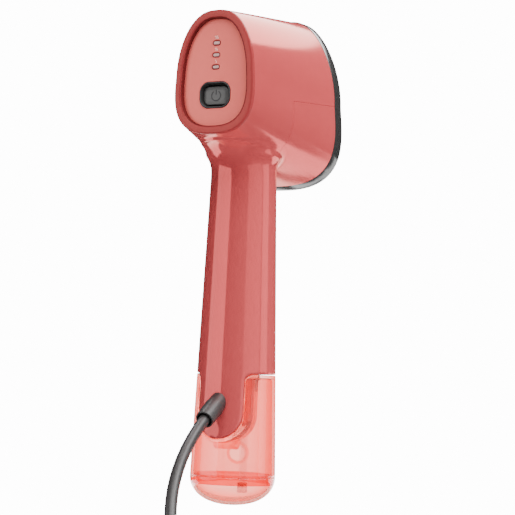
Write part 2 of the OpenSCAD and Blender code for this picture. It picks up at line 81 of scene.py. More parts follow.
# The handle and the tank, which share one cone, and the tongue of the housing in the tank's recess.
NECK_R, NECK_Z, FILLET_Z = 20.0, 200.0, 215.0
BACK_FILLET, BACK_REACH, SIDE_FILLET, SIDE_REACH = 20.0, 18, 14.0, 3
FOOT_R, SEAM_Z, TANK_TOP_Z, GAP = 25.6, 17.3, 78.0, 0.3
SLOPE = (FOOT_R - NECK_R) / (NECK_Z - SEAM_Z)
TANK_WALL, DOME_WALL, DOME_POWER = 1.8, 1.9, 0.9
RECESS_W, RECESS_Z, RECESS_Y, SHOULDER_R = 14.7, 39.5, 5.0, 4.2
RIB_W, RIB_T, RIB_Y, RIB_TOP_Z = 8.2, 1.3, 9.7, RECESS_Z - 6.5
RING_DOWN, RING_UP = 4.6, 1.4
SPIGOT_Y, PORT_R, PORT_Z = -14.0, 7.05, 70.0
FILLER_Z, FILLER_TURN, FILLER_R = 30.0, math.radians(20), 5.1

LEAD_R = 3.4
BUSHING_Y, BUSHING_Z, BUSHING_DIP = 24.5, 60.3, 31
PLUG_X, PLUG_Y, PLUG_Z = 74, 75, -51.5
SLEEVE_L, PLUG_L, PLUG_R, PIN_APART, PIN_R, PIN_L = 30, 38, 18.4, 19.0, 2.4, 19.4
SURFACE_Z = -70.0


def mix(a, b, s):
    return a + (b - a) * s


def new_object(name, data):
    made = bpy.data.objects.new(name, data)
    bpy.context.scene.collection.objects.link(made)
    return made


# ---------- places: a piece's own +Z points out of the object ----------

def spin(degrees, axis):
    return Matrix.Rotation(math.radians(degrees), 4, axis)


def on_rear(y):
    """On a plane of the panel end at that y, with +Y up."""
    return Matrix(((-1, 0, 0, 0), (0, 0, 1, y), (0, 1, 0, REAR_Z), (0, 0, 0, 1)))


def in_front(q):
    """On the leaning plane of the steaming end, q further in, with +Y up."""
    lean = Matrix.Rotation(math.pi / 2 + FRONT_LEAN, 4, "X")
    return Matrix.Translation((0, FRONT_Y, FRONT_Z)) @ lean @ Matrix.Translation((0, 0, -q))


def along_bushing():
    return Matrix.Translation((0, BUSHING_Y, BUSHING_Z)) @ spin(180, "Z") @ spin(90 + BUSHING_DIP, "X")


def along_plug(d):
    return Matrix.Translation((PLUG_X, PLUG_Y + d, PLUG_Z)) @ spin(-90, "X")


def upright(x, y, z):
    return Matrix.Translation((x, y, z))


# ---------- camera ----------

CAM_PLACE = (-0.3985, 0.8170, -0.0775)
CAM_YAW, CAM_PITCH, CAM_ROLL = 205.361, 4.828, 2.116
CAM_LENS, CAM_SENSOR = 104.85, 36


def add_camera():
    data = bpy.data.cameras.new("camera")
    data.sensor_width = CAM_SENSOR
    data.lens = CAM_LENS
    camera = new_object("camera", data)
    turn = spin(CAM_YAW, "Z") @ spin(90 + CAM_PITCH, "X") @ spin(CAM_ROLL, "Z")
    camera.matrix_world = Matrix.Translation(CAM_PLACE) @ turn
    bpy.context.scene.camera = camera
    return camera


# ---------- materials ----------

BUMP_M = 0.0001
# The second coral is the body's coral darkened as painted shade, for the bezel round the panel.
CORAL, CORAL_PAINTED_SHADE = (0.56, 0.072, 0.076), (0.30, 0.036, 0.038)
WARM_SHINE = (1, 0.65, 0.45, 1)
EVEN = {"mottle": 0.01, "uneven": 0.01}
LACQUER = {"grain": 0.01, "grain_mm": 0.3, "mottle": 0.015, "uneven": 0.01, "Specular_Tint": WARM_SHINE}
CLEAR_WALL = {**EVEN, "Transmission_Weight": 1.0, "IOR": 1.08, "Coat_Weight": 0.6, "Coat_Roughness": 0.06}


def add_noise(tree, vector, size_mm, detail):
    noise = tree.nodes.new("ShaderNodeTexNoise")
    noise.inputs["Scale"].default_value = 1000 / size_mm
    noise.inputs["Detail"].default_value = detail
    tree.links.new(vector, noise.inputs["Vector"])
    return noise.outputs["Fac"]


def shader(name, color, roughness, grain=0.0, grain_mm=0.6, mottle=0.04, mottle_mm=14, uneven=0.05,
           stretch=(1, 1, 1), **constants):
    """A procedural finish: colour and roughness vary a little, and a fine grain gives the bump."""
    material = bpy.data.materials.new(name)
    material.use_nodes = True
    tree = material.node_tree
    nodes, links = tree.nodes, tree.links
    bsdf = nodes["Principled BSDF"]
    place = nodes.new("ShaderNodeTexCoord")
    scaled = nodes.new("ShaderNodeMapping")
    scaled.inputs["Scale"].default_value = stretch
    links.new(place.outputs["Object"], scaled.inputs["Vector"])
    cloud = add_noise(tree, scaled.outputs["Vector"], mottle_mm, 3)
    ramp = nodes.new("ShaderNodeValToRGB")
    darker, lighter = ramp.color_ramp.elements
    darker.position = 0.3
    lighter.position = 0.7
    darker.color = (*[c * (1 - mottle) for c in color], 1)
    lighter.color = (*[min(1, c * (1 + mottle)) for c in color], 1)
    links.new(cloud, ramp.inputs["Fac"])
    links.new(ramp.outputs["Color"], bsdf.inputs["Base Color"])
    spread = nodes.new("ShaderNodeMapRange")
    spread.inputs["To Min"].default_value = max(0.02, roughness - uneven)
    spread.inputs["To Max"].default_value = min(1, roughness + uneven)
    links.new(cloud, spread.inputs["Value"])
    links.new(spread.outputs["Result"], bsdf.inputs["Roughness"])
    if grain:
        bump = nodes.new("ShaderNodeBump")
        bump.inputs["Strength"].default_value = grain
        bump.inputs["Distance"].default_value = BUMP_M
        links.new(add_noise(tree, scaled.outputs["Vector"], grain_mm, 2), bump.inputs["Height"])
        links.new(bump.outputs["Normal"], bsdf.inputs["Normal"])
    for socket, value in constants.items():
        bsdf.inputs[socket.replace("_", " ")].default_value = value
    return material


def tint_by_depth(material, color):
    """Clear plastic looks deeper in colour where it is seen at a slant, through more of its wall."""
    nodes, links = material.node_tree.nodes, material.node_tree.links
    slant = nodes.new("ShaderNodeLayerWeight")
    slant.inputs["Blend"].default_value = 0.5
    remain = nodes.new("ShaderNodeMath")
    remain.operation = "SUBTRACT"
    remain.inputs[0].default_value = 1.2
    links.new(slant.outputs["Facing"], remain.inputs[1])
    deepen = nodes.new("ShaderNodeMath")
    deepen.operation = "DIVIDE"
    deepen.inputs[0].default_value = 1.0
    links.new(remain.outputs[0], deepen.inputs[1])
    tint = nodes.new("ShaderNodeGamma")
    tint.inputs["Color"].default_value = (*color, 1)
    links.new(deepen.outputs[0], tint.inputs["Gamma"])
    links.new(tint.outputs["Color"], nodes["Principled BSDF"].inputs["Base Color"])


FINISHES = {
    "coral_gloss": shader("coral_gloss", CORAL, 0.09, Metallic=0.3, Specular_IOR_Level=0.12, **LACQUER),
    "salmon_satin": shader("salmon_satin", (0.62, 0.108, 0.094), 0.34, grain=0.05, grain_mm=0.3, mottle=0.015,
                           Metallic=0.25, Specular_IOR_Level=0.3, Specular_Tint=WARM_SHINE),
    "dark_plastic": shader("dark_plastic", (0.024, 0.023, 0.023), 0.13, grain=0.02, grain_mm=0.8),
    "window_clear": shader("window_clear", (0.52, 0.28, 0.26), 0.30, mottle=0.02),
    "led_white": shader("led_white", (0.80, 0.80, 0.76), 0.3, mottle=0.02),
    "board_green": shader("board_green", (0.02, 0.12, 0.05), 0.35, grain=0.2, grain_mm=0.8, mottle=0.2),
    "switch_black": shader("switch_black", (0.02, 0.02, 0.02), 0.45, grain=0.2),
    "screw_steel": shader("screw_steel", (0.60, 0.60, 0.62), 0.32, grain=0.2, grain_mm=0.4, Metallic=1.0),
    "plate_steel": shader("plate_steel", (0.66, 0.65, 0.63), 0.26, grain=0.35, grain_mm=1.2, uneven=0.08,
                          stretch=(0.08, 1, 1), Metallic=1.0),
    "cast_alloy": shader("cast_alloy", (0.50, 0.50, 0.51), 0.55, grain=0.8, grain_mm=0.9, Metallic=1.0),
    "element_steel": shader("element_steel", (0.22, 0.20, 0.19), 0.5, grain=0.3, mottle=0.25, Metallic=1.0),
    "shield_plate": shader("shield_plate", (0.60, 0.60, 0.61), 0.35, grain=0.2, stretch=(1, 0.1, 1),
                           Metallic=1.0),
    "ceramic_white": shader("ceramic_white", (0.72, 0.68, 0.58), 0.6, grain=0.4, grain_mm=0.5),
    "inlet_brass": shader("inlet_brass", (0.62, 0.42, 0.14), 0.28, grain=0.15, Metallic=1.0),
    "silicone": shader("silicone", (0.72, 0.70, 0.66), 0.4, grain=0.1, Subsurface_Weight=0.2),
    "pump_white": shader("pump_white", (0.74, 0.74, 0.71), 0.4, grain=0.15),
    "coil_copper": shader("coil_copper", (0.30, 0.11, 0.04), 0.45, grain=0.7, grain_mm=0.5,
                          stretch=(0.05, 0.05, 1)),
    "pump_steel": shader("pump_steel", (0.50, 0.50, 0.51), 0.35, grain=0.2, Metallic=1.0),
    "black_rubber": shader("black_rubber", (0.02, 0.02, 0.02), 0.65, grain=0.5, grain_mm=0.5),
    "cord_rubber": shader("cord_rubber", (0.024, 0.021, 0.021), 0.42, grain=0.25, grain_mm=0.5, mottle=0.08),
    "clamp_plastic": shader("clamp_plastic", (0.04, 0.04, 0.04), 0.5, grain=0.2),
    "lead_brown": shader("lead_brown", (0.14, 0.05, 0.02), 0.4, grain=0.1),
    "tank_red": shader("tank_red", (0.84, 0.33, 0.26), 0.05, **CLEAR_WALL),
    "tank_trim": shader("tank_trim", (0.62, 0.14, 0.12), 0.4, mottle=0.02, Alpha=0.38),
    "pin_nickel": shader("pin_nickel", (0.70, 0.68, 0.64), 0.18, grain=0.1, Metallic=1.0),
}
tint_by_depth(FINISHES["tank_red"], (0.86, 0.32, 0.27))
DOME_CLEAR = shader("dome_clear", (0.90, 0.50, 0.45), 0.05, **CLEAR_WALL)
tint_by_depth(DOME_CLEAR, (0.92, 0.49, 0.43))
# The bezel's base is a darker copy of the body's coral: painted shade for the way the bezel faces.
BEZEL_SHADED_CORAL = shader("bezel_coral_painted_shade", CORAL_PAINTED_SHADE, 0.12, Metallic=0.08, Specular_IOR_Level=0.15, **LACQUER)
PIPE_CLEAR = shader("pipe_clear", (0.75, 0.30, 0.26), 0.1, Alpha=0.12, **EVEN)
GRAPHITE = shader("symbol_dark", (0.008, 0.008, 0.008), 0.6, grain=0.1)
CAP_GREY = shader("cap_grey", (0.044, 0.042, 0.041), 0.40, grain=0.2, grain_mm=0.3, mottle=0.03)
MARK_PALE = shader("mark_pale", (0.90, 0.42, 0.36), 0.5, mottle=0.02)
FUNNEL_DARK = shader("funnel_dark", (0.016, 0.015, 0.015), 0.55, grain=0.2, grain_mm=0.5)
# A dark red that stands in as painted shade in the gaps round the panel and round the lights.
GAP_SHADE_RED = shader("gap_shade_red", (0.13, 0.012, 0.012), 0.7, mottle=0.02, Specular_IOR_Level=0.1)
SEAM_RED = shader("seam_red", (0.80, 0.14, 0.12), 0.06, Transmission_Weight=1.0, IOR=1.06, **EVEN)


# ---------- meshes ----------

def to_frame(mesh):
    mesh.transform(Matrix.Translation((0, 0, -GRIP_Z * MM)) @ Matrix.Scale(MM, 4))


def add_piece(name, points, faces, finish, body, replaces=(), sharp=32):
    """A finished piece from points in millimetres; edges that turn by more than sharp degrees stay crisp."""
    mesh = bpy.data.meshes.new(name)
    mesh.from_pydata([tuple(p) for p in points], [], [tuple(f) for f in faces])
    tidy = bmesh.new()
    tidy.from_mesh(mesh)
    bmesh.ops.remove_doubles(tidy, verts=tidy.verts, dist=0.002)
    bmesh.ops.dissolve_degenerate(tidy, edges=tidy.edges, dist=0.0005)
    bmesh.ops.recalc_face_normals(tidy, faces=tidy.faces)
    tidy.to_mesh(mesh)
    tidy.free()
    to_frame(mesh)
    mesh.shade_smooth()
    mesh.set_sharp_from_angle(angle=math.radians(sharp))
    return dress(new_object(name, mesh), finish, body, replaces)


def dress(piece, finish, body, replaces=()):
    """Gives a piece its body and its finish: the name of a slot, or a material that only shows here."""
    material = FINISHES[finish] if isinstance(finish, str) else finish
    piece.data.materials.clear()
    piece.data.materials.append(material)
    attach(piece, body)
    if replaces:
        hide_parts(*replaces)
    return piece


def rounded_path(corners, closed=False, steps=5):
    """A flat line through corners given as (x, y, radius), with an arc at each."""
    points = []
    for i, (x, y, r) in enumerate(corners):
        here = np.array((x, y), float)
        if r == 0 or (not closed and i in (0, len(corners) - 1)):
            points.append(here)
            continue
        a = np.array(corners[i - 1][:2], float) - here
        b = np.array(corners[(i + 1) % len(corners)][:2], float) - here
        la, lb = np.linalg.norm(a), np.linalg.norm(b)
        a, b = a / la, b / lb
        half = math.acos(max(-1, min(1, a @ b))) / 2
        cut = min(r / math.tan(half), 0.499 * la, 0.499 * lb)
        r = cut * math.tan(half)
        middle = here + (a + b) / np.linalg.norm(a + b) * r / math.sin(half)
        for k in range(steps + 1):
            ray = mix(here + a * cut - middle, here + b * cut - middle, k / steps)
            points.append(middle + ray / np.linalg.norm(ray) * r)
    return points


def rings_mesh(rings, wrap=False, capped=False):
    """Points and faces between closed rings of the same number of points."""
    n, m = len(rings[0]), len(rings)
    faces = [(j * n + i, j * n + (i + 1) % n, (j + 1) % m * n + (i + 1) % n, (j + 1) % m * n + i)
             for j in range(m if wrap else m - 1) for i in range(n)]
    if capped:
        faces += [tuple(range(n))[::-1], tuple(range((m - 1) * n, m * n))]
    return [p for ring in rings for p in ring], faces


def turned(name, corners, place, finish, body, replaces=(), sides=96, closed=False, steps=5):
    """A piece turned about its own +Z from corners given as (radius, height, rounding)."""
    profile = rounded_path(corners, closed, steps)
    rings = [[place @ Vector((r * math.sin(t), r * math.cos(t), z))
              for t in (2 * math.pi * i / sides for i in range(sides))] for r, z in profile]
    return add_piece(name, *rings_mesh(rings, wrap=closed), finish, body, replaces)


def power(v, p):
    return np.sign(v) * np.abs(v) ** p


def egg_turns(n=220, fine=6001):
    """Turns that stand evenly along an egg outline."""
    t = np.linspace(0, 2 * math.pi, fine)
    x, y = egg(REAR_W, REAR_H, REAR_EGG, t)
    along = np.concatenate(([0], np.cumsum(np.hypot(np.diff(x), np.diff(y)))))
    return np.interp(np.linspace(0, along[-1], n, endpoint=False), along, t)


def arc_turns(first, end, step):
    """Turns in radians from first up to, not including, end, all given in whole degrees."""
    return [math.radians(a) for a in range(first, end, step)]


def egg(w, h, k, t):
    s, c = np.sin(t), np.cos(t)
    return w * power(s, 2 / EGG_POWER) * (1 - k * c), h * power(c, 2 / EGG_POWER)


def egg_rings(size, profile, place, flare=None):
    """Rings along an egg outline of size (w, h, k), one for each (inset, height) of the profile.

    flare says how far down the head's own flare the outline stands at an (inset, height).
    """
    w, h, k = size
    turns = egg_turns()
    rings = []
    for inset, z in profile:
        down = flare(inset, z) if flare else 0.0
        x, y = egg(w - inset + FLARE_W * down, h - inset + FLARE_H * down, k, turns)
        rings.append([place @ Vector((a, b, z)) for a, b in zip(x, y)])
    return rings


def pad_outline(w, h, r, steps=10):
    """A rounded rectangle as flat points."""
    corners = [(w / 2, h / 2, r), (-w / 2, h / 2, r), (-w / 2, -h / 2, r), (w / 2, -h / 2, r)]
    return rounded_path(corners, closed=True, steps=steps)


def pad_rings(w, h, r, profile, place, middle=(0, 0)):
    rings = []
    for inset, z in profile:
        outline = pad_outline(w - 2 * inset, h - 2 * inset, max(0.3, r - inset))
        rings.append([place @ Vector((middle[0] + x, middle[1] + y, z)) for x, y in outline])
    return rings


def bow(mesh, crown, cell=2.0):
    """Cuts a flat mesh into cells and lifts it by the crown's height at each point."""
    bowed = bmesh.new()
    bowed.from_mesh(mesh)
    for axis in (0, 1):
        reach = int(max(abs(v.co[axis]) for v in bowed.verts) / cell)
        for i in range(-reach, reach + 1):
            cut = [i * cell if a == axis else 0 for a in range(3)]
            bmesh.ops.bisect_plane(bowed, geom=[*bowed.verts, *bowed.edges, *bowed.faces], dist=0.001,
                                   plane_co=cut, plane_no=[a == axis for a in range(3)])
    for v in bowed.verts:
        v.co.z += crown(v.co.x, v.co.y)
    bowed.to_mesh(mesh)
    bowed.free()


def flat_piece(name, outlines, thick, round_off, place, finish, body, replaces=(), crown=None):
    """A flat piece with holes, whose edges are rounded a little; its top is at the place's height.

    crown is the height that the piece gains at a point (x, y).
    """
    curve = bpy.data.curves.new(name, "CURVE")
    curve.dimensions = "2D"
    curve.fill_mode = "BOTH"
    curve.extrude = thick / 2 - round_off
    curve.bevel_depth = round_off
    curve.bevel_resolution = 2
    curve.offset = -round_off
    for outline in outlines:
        line = curve.splines.new("POLY")
        line.points.add(len(outline) - 1)
        for point, (x, y) in zip(line.points, outline):
            point.co = (x, y, 0, 1)
        line.use_cyclic_u = True
    drawn = new_object(name + "_outline", curve)
    mesh = bpy.data.meshes.new_from_object(drawn.evaluated_get(bpy.context.evaluated_depsgraph_get()))
    bpy.data.objects.remove(drawn)
    if crown:
        bow(mesh, crown)
    mesh.transform(place @ Matrix.Translation((0, 0, -thick / 2)))
    points = [v.co.copy() for v in mesh.vertices]
    faces = [tuple(f.vertices) for f in mesh.polygons]
    bpy.data.meshes.remove(mesh)
    piece = add_piece(name, points, faces, finish, body, replaces, sharp=60)
    piece.modifiers.new("even_normals", "WEIGHTED_NORMAL").keep_sharp = True
    return piece


# ---------- moulded shells from a distance field ----------

def soft_min(a, b, k):
    h = np.clip(0.5 + 0.5 * (b - a) / k, 0, 1)
    return b + (a - b) * h - k * h * (1 - h)


def soft_max(a, b, k):
    return -soft_min(-a, -b, k)


def round_union(a, b, r):
    """Joins two bodies with a fillet of radius r."""
    return np.maximum(r, np.minimum(a, b)) - np.hypot(np.maximum(r - a, 0), np.maximum(r - b, 0))


def handle_r(z):
    return NECK_R + SLOPE * (NECK_Z - z)


def neck_fillet(z, r):
    """How far a fillet of radius r stands out from the handle, up to its end at FILLET_Z."""
    up = np.clip(z - FILLET_Z + r, 0, r)
    return r - np.sqrt(r * r - up ** 2)


def head_field(x, y, z):
    """Egg outlines that grow from the panel end to the steaming end and come to lean as it does."""
    s = (REAR_Y - y) / HEAD_LENGTH
    for _ in range(4):  # how far along the head a point lies depends on the lean there
        lean = FRONT_LEAN * np.clip((s - SHELL_START) / (SHELL_END - SHELL_START), 0, 1)
        up = (z - mix(REAR_Z, FRONT_Z, s)) / np.cos(lean)
        s = (REAR_Y - y - up * np.sin(lean)) / HEAD_LENGTH
    s = np.clip(s, -0.2, 1.2)
    w, h, k = mix(REAR_W, FRONT_W, s), mix(REAR_H, FRONT_H, s), mix(REAR_EGG, FRONT_EGG, s)
    v = up / h
    c = power(np.clip(v, -1, 1), EGG_POWER / 2)
    f = ((np.abs(x) / (w * (1 - k * c))) ** EGG_POWER + np.abs(v) ** EGG_POWER) ** (1 / EGG_POWER)
    return np.hypot(x, up) * (1 - 1 / np.maximum(f, 0.25))


def handle_field(x, y, z):
    r = handle_r(z)
    back = np.minimum(neck_fillet(z, BACK_FILLET), BACK_REACH)
    side = np.minimum(neck_fillet(z, SIDE_FILLET), SIDE_REACH)
    f = np.hypot(x / (r + side), y / (r + np.where(y > 0, back, side * 0.5)))
    return np.hypot(x, y) * (1 - 1 / np.maximum(f, 0.2))


def u_field(x, z, w, bottom):
    """An upright strip of half width w with a round end at the bottom."""
    return np.hypot(x, np.minimum(z - bottom - w, 0)) - w


def handle_share(x, y, z, play):
    """The part of the round that belongs to the handle: all above the tank, and the tongue in its recess."""
    tongue = soft_max(u_field(x, z, RECESS_W - play, RECESS_Z + play), RECESS_Y + play - y, 0.6)
    return round_union(TANK_TOP_Z + play - z, tongue, SHOULDER_R)


def shell_field(x, y, z):
    """The head and the handle in one skin, down to the tongue that goes into the tank's recess."""
    column = np.maximum(handle_field(x, y, z), z - COLUMN_TOP_Z)
    column = soft_max(column, handle_share(x, y, z, GAP), EDGE_R)
    return soft_min(head_field(x, y, z), column, 3.0)


def round_hole(across, up, r, past):
    """A hole of radius r along a line that stands at (across, up) = (0, 0), from where past is zero."""
    return np.maximum(np.hypot(across, up) - r, past)


def tank_field(x, y, z):
    """The tank's wall above its seam, with its recess, rib, port and filler hole."""
    cone = np.hypot(x, y) - handle_r(z)
    share = -handle_share(x, y, z, 0.0)
    outside = soft_max(soft_max(cone, share, EDGE_R), SEAM_Z - z, 0.4)
    cavity = soft_max(cone + TANK_WALL, share + TANK_WALL, 1.2)
    rib = soft_max(np.maximum(np.abs(x) - RIB_W, np.abs(y - RIB_Y) - RIB_T), RIB_TOP_Z - z, 3.0)
    solid = soft_max(outside, -soft_max(cavity, -rib, 0.5), 0.4)
    port = round_hole(x, y - SPIGOT_Y, PORT_R, PORT_Z - z)
    side, out = math.sin(FILLER_TURN), math.cos(FILLER_TURN)
    filler = round_hole(x * out + y * side, z - FILLER_Z, FILLER_R, 10 - (x * side - y * out))
    return soft_max(soft_max(solid, -port, 0.3), -filler, 0.3)


def slope_of(field, p, e=0.02):
    g = np.stack([(field(*(p + e * d).T) - field(*(p - e * d).T)) / (2 * e) for d in np.eye(3)], 1)
    return g / np.maximum(np.linalg.norm(g, axis=1, keepdims=True) ** 2, 1e-6), g


def field_surface(field, low, high, step):
    """Points and four-sided faces of the surface on which the field is zero."""
    low = np.array(low, float)
    n = np.ceil((np.array(high) - low) / step).astype(int) + 1
    value = field(*np.meshgrid(*[low[i] + step * np.arange(n[i]) for i in range(3)], indexing="ij"))
    cells = tuple(n - 1)
    size = int(np.prod(cells))
    total, count, quads = np.zeros((size, 3)), np.zeros(size), []
    for a in range(3):
        near, far = np.delete(value, -1, a), np.delete(value, 0, a)
        b, c = (a + 1) % 3, (a + 2) % 3
        at = np.argwhere((near < 0) != (far < 0))
        at = at[(at[:, b] > 0) & (at[:, b] < n[b] - 1) & (at[:, c] > 0) & (at[:, c] < n[c] - 1)]
        v0, v1 = near[tuple(at.T)], far[tuple(at.T)]
        crossing = at.astype(float)
        crossing[:, a] += v0 / (v0 - v1)
        around = []
        for db, dc in ((-1, -1), (0, -1), (0, 0), (-1, 0)):
            cell = at.copy()
            cell[:, b] += db
            cell[:, c] += dc
            cell = np.ravel_multi_index(cell.T, cells)
            total += np.stack([np.bincount(cell, crossing[:, i], size) for i in range(3)], 1)
            count += np.bincount(cell, minlength=size)
            around.append(cell)
        quad = np.stack(around, 1)
        quads.append(np.where((v0 < 0)[:, None], quad, quad[:, ::-1]))
    used, faces = np.unique(np.concatenate(quads), return_inverse=True)
    points = low + step * total[used] / count[used][:, None]
    faces = faces.reshape(-1, 4)
    for _ in range(3):  # even out the points, then bring them back onto the surface
        middle = points[faces].mean(1)
        moved = np.zeros_like(points)
        times = np.zeros(len(points))
        for corner in faces.T:
            np.add.at(moved, corner, middle)
            np.add.at(times, corner, 1)
        points = mix(points, moved / times[:, None], 0.6)
        for _ in range(3):
            g, _ = slope_of(field, points)
            points -= np.clip(field(*points.T)[:, None] * g, -0.4, 0.4)
    return points, faces


def cut_off(body, point, normal):
    """Takes away what lies on the side that the normal points to, and leaves the cut open."""
    bmesh.ops.bisect_plane(body, geom=[*body.verts, *body.edges, *body.faces], plane_co=point,
                           plane_no=normal, clear_outer=True, dist=0.001)


def walled(body, field, thick):
    """Points and faces of an open skin made into a wall with rims, by an inner skin behind it."""
    body.verts.ensure_lookup_table()
    for i, v in enumerate(body.verts):
        v.index = i
    outer = np.array([v.co for v in body.verts], float)
    faces = [[v.index for v in f.verts] for f in body.faces]
    g = slope_of(field, outer)[1]
    inner = outer - thick * g / np.linalg.norm(g, axis=1, keepdims=True)
    m = len(outer)
    rims = []
    for e in body.edges:
        if len(e.link_loops) == 1:
            a, b = e.link_loops[0].vert.index, e.link_loops[0].link_loop_next.vert.index
            rims.append([b, a, a + m, b + m])
    return np.concatenate((outer, inner)), faces + [[i + m for i in f[::-1]] for f in faces] + rims


def add_housings():
    """One skin round the head and the handle, cut open at both ends and parted into two walled shells."""
    points, faces = field_surface(shell_field, (-40, -66, 36), (40, 46, 316), 1.15)
    skin = bpy.data.meshes.new("skin")
    skin.from_pydata(points.tolist(), [], faces.tolist())
    lean = Vector((0, -math.cos(FRONT_LEAN), -math.sin(FRONT_LEAN)))
    whole = bmesh.new()
    whole.from_mesh(skin)
    cut_off(whole, (0, REAR_Y - BEZEL_T + BEZEL_STEP, REAR_Z), (0, 1, 0))
    cut_off(whole, in_front(RIM_T + PART_GAP).translation, lean)
    seam = Vector((0, PART_RISE, 1)).normalized()
    front = whole.copy()
    cut_off(front, (0, PART_Y - PART_GAP, 0), (0, 1, 0))
    cut_off(front, (0, PART_Y, PART_Z - PART_GAP), seam)
    add_piece("front_housing_shell", *walled(front, shell_field, SHELL_WALL), "coral_gloss", "steamer",
              ["front_housing"])
    behind, above = whole.copy(), whole
    cut_off(behind, (0, PART_Y, 0), (0, -1, 0))
    cut_off(above, (0, PART_Y, 0), (0, 1, 0))
    cut_off(above, (0, PART_Y, PART_Z), -seam)
    joined = bpy.data.meshes.new("joined")
    above.to_mesh(joined)
    behind.from_mesh(joined)
    bmesh.ops.remove_doubles(behind, verts=behind.verts, dist=0.003)
    add_piece("rear_housing_shell", *walled(behind, shell_field, SHELL_WALL), "coral_gloss", "steamer",
              ["rear_housing"])


def add_bezel():
    skin = SHELL_WALL + 0.05
    profile = rounded_path([(0, BEZEL_STEP, 0.02), (0, BEZEL_T - 0.1, 1.3), (2.4, BEZEL_T, 6),
                            (BEZEL_W, BEZEL_T - 0.2, 0.5), (BEZEL_W, 0, 0.3), (skin, 0, 0.3),
                            (skin, BEZEL_STEP, 0.02)], closed=True)
    rings = egg_rings((REAR_W, REAR_H, REAR_EGG), profile, on_rear(REAR_Y - BEZEL_T),
                      flare=lambda inset, z: (BEZEL_T - z) * (1 - inset / BEZEL_W))
    # The bezel ring takes the coral darkened as painted shade.
    add_piece("rear_bezel_ring", *rings_mesh(rings, wrap=True), BEZEL_SHADED_CORAL, "steamer", ["rear_bezel"])
    # A dark red ring in the groove round the panel: painted shade of the gap between panel and bezel.
    out, lip, foot = BEZEL_W - 0.1, BEZEL_W + 0.4, BEZEL_W + 1.2
    profile = rounded_path([(out, -2.8, 0.1), (out, 1.8, 0.1), (lip, 1.7, 0.2), (lip, -1.0, 0.2),
                            (foot, -1.3, 0.1), (foot, -2.8, 0.1)], closed=True, steps=3)
    rings = egg_rings((REAR_W, REAR_H, REAR_EGG), profile, on_rear(PANEL_Y))
    add_piece("panel_groove_shade_ring", *rings_mesh(rings, wrap=True), GAP_SHADE_RED, "steamer")


def add_panel():
    inset = BEZEL_W + PANEL_GROOVE
    x, y = egg(REAR_W - inset, REAR_H - inset, REAR_EGG, egg_turns())
    holes = [[(a, b + BUTTON_Z) for a, b in pad_outline(FRAME_W + 0.2, FRAME_H + 0.2, FRAME_R + 0.1)]]
    window = pad_outline(LIGHT_W + 0.2, LIGHT_H + 0.2, LIGHT_R + 0.1)
    holes += [[(a, b + LIGHT_Z + i * LIGHT_PITCH) for a, b in window] for i in range(3)]
    flat_piece("control_panel_plate", [list(zip(x, y)), *holes], PANEL_T, 0.25, on_rear(PANEL_Y),
               "salmon_satin", "steamer", ["control_panel"],
               crown=lambda a, b: -PANEL_BOW * ((a / 20) ** 2 + (b / 32) ** 2))


def add_button():
    place = on_rear(PANEL_Y)
    frame_path = rounded_path([(0, -6, 0.2), (0, 0.15, 0.35), (0.75, 0.15, 0.3), (1.5, -2.6, 0.3),
                               (1.5, -6, 0.2)], closed=True)
    rings = pad_rings(FRAME_W, FRAME_H, FRAME_R, frame_path, place, (0, BUTTON_Z))
    add_piece("button_frame_funnel", *rings_mesh(rings, wrap=True), FUNNEL_DARK, "steamer", ["button_frame"])
    cap_path = rounded_path([(0.9, -7.3, 0.2), (-0.9, -7.3, 0.2), (-0.9, -6.4, 0.2), (0.05, -6.3, 0.2),
                             (0.05, CAP_TOP - 0.45, 0.7), (2.6, CAP_TOP - 0.05, 4), (5.3, CAP_TOP, 0)])
    rings = pad_rings(CAP_W, CAP_H, CAP_R, cap_path, place, (0, BUTTON_Z))
    add_piece("power_button_cap", *rings_mesh(rings, capped=True), CAP_GREY, "button", ["power_button"])
    last, inner = 360 - SYMBOL_GAP, SYMBOL_R - SYMBOL_LINE
    arc = [(SYMBOL_R * math.sin(t), SYMBOL_R * math.cos(t)) for t in arc_turns(SYMBOL_GAP, last + 1, 8)]
    arc += [(inner * math.sin(t), inner * math.cos(t)) for t in arc_turns(last, SYMBOL_GAP - 1, -8)]
    bar = pad_outline(SYMBOL_LINE + 0.01, 3.4, 0.3, 4)
    top = on_rear(PANEL_Y + CAP_TOP + 0.06)
    for name, outline, up in (("arc", arc, BUTTON_Z - 0.2), ("bar", bar, BUTTON_Z + 1.9)):
        flat_piece(f"power_symbol_{name}", [[(x, y + up) for x, y in outline]], 0.4, 0.04, top, GRAPHITE,
                   "button")


def add_lights():
    window_path = rounded_path([(0.45, -9, 0), (0.45, -0.15, 0.25), (0.8, 0.05, 0.8), (1.3, 0.08, 0)])
    # A dark red ring round each window: painted shade of the gap between window and panel.
    gap_shade_path = rounded_path([(-0.08, -2, 0), (-0.08, 0.02, 0.1), (0.42, 0.02, 0.1), (0.42, -2, 0)],
                               closed=True, steps=2)
    for i in range(3):
        middle = (0, LIGHT_Z + i * LIGHT_PITCH)
        rings = pad_rings(LIGHT_W, LIGHT_H, LIGHT_R, window_path, on_rear(PANEL_Y), middle)
        add_piece(f"indicator_window_{i + 1}", *rings_mesh(rings, capped=True), "window_clear", "steamer",
                  ["light_guide"])
        rings = pad_rings(LIGHT_W, LIGHT_H, LIGHT_R, gap_shade_path, on_rear(PANEL_Y), middle)
        add_piece(f"indicator_gap_shade_{i + 1}", *rings_mesh(rings, wrap=True), GAP_SHADE_RED, "steamer")


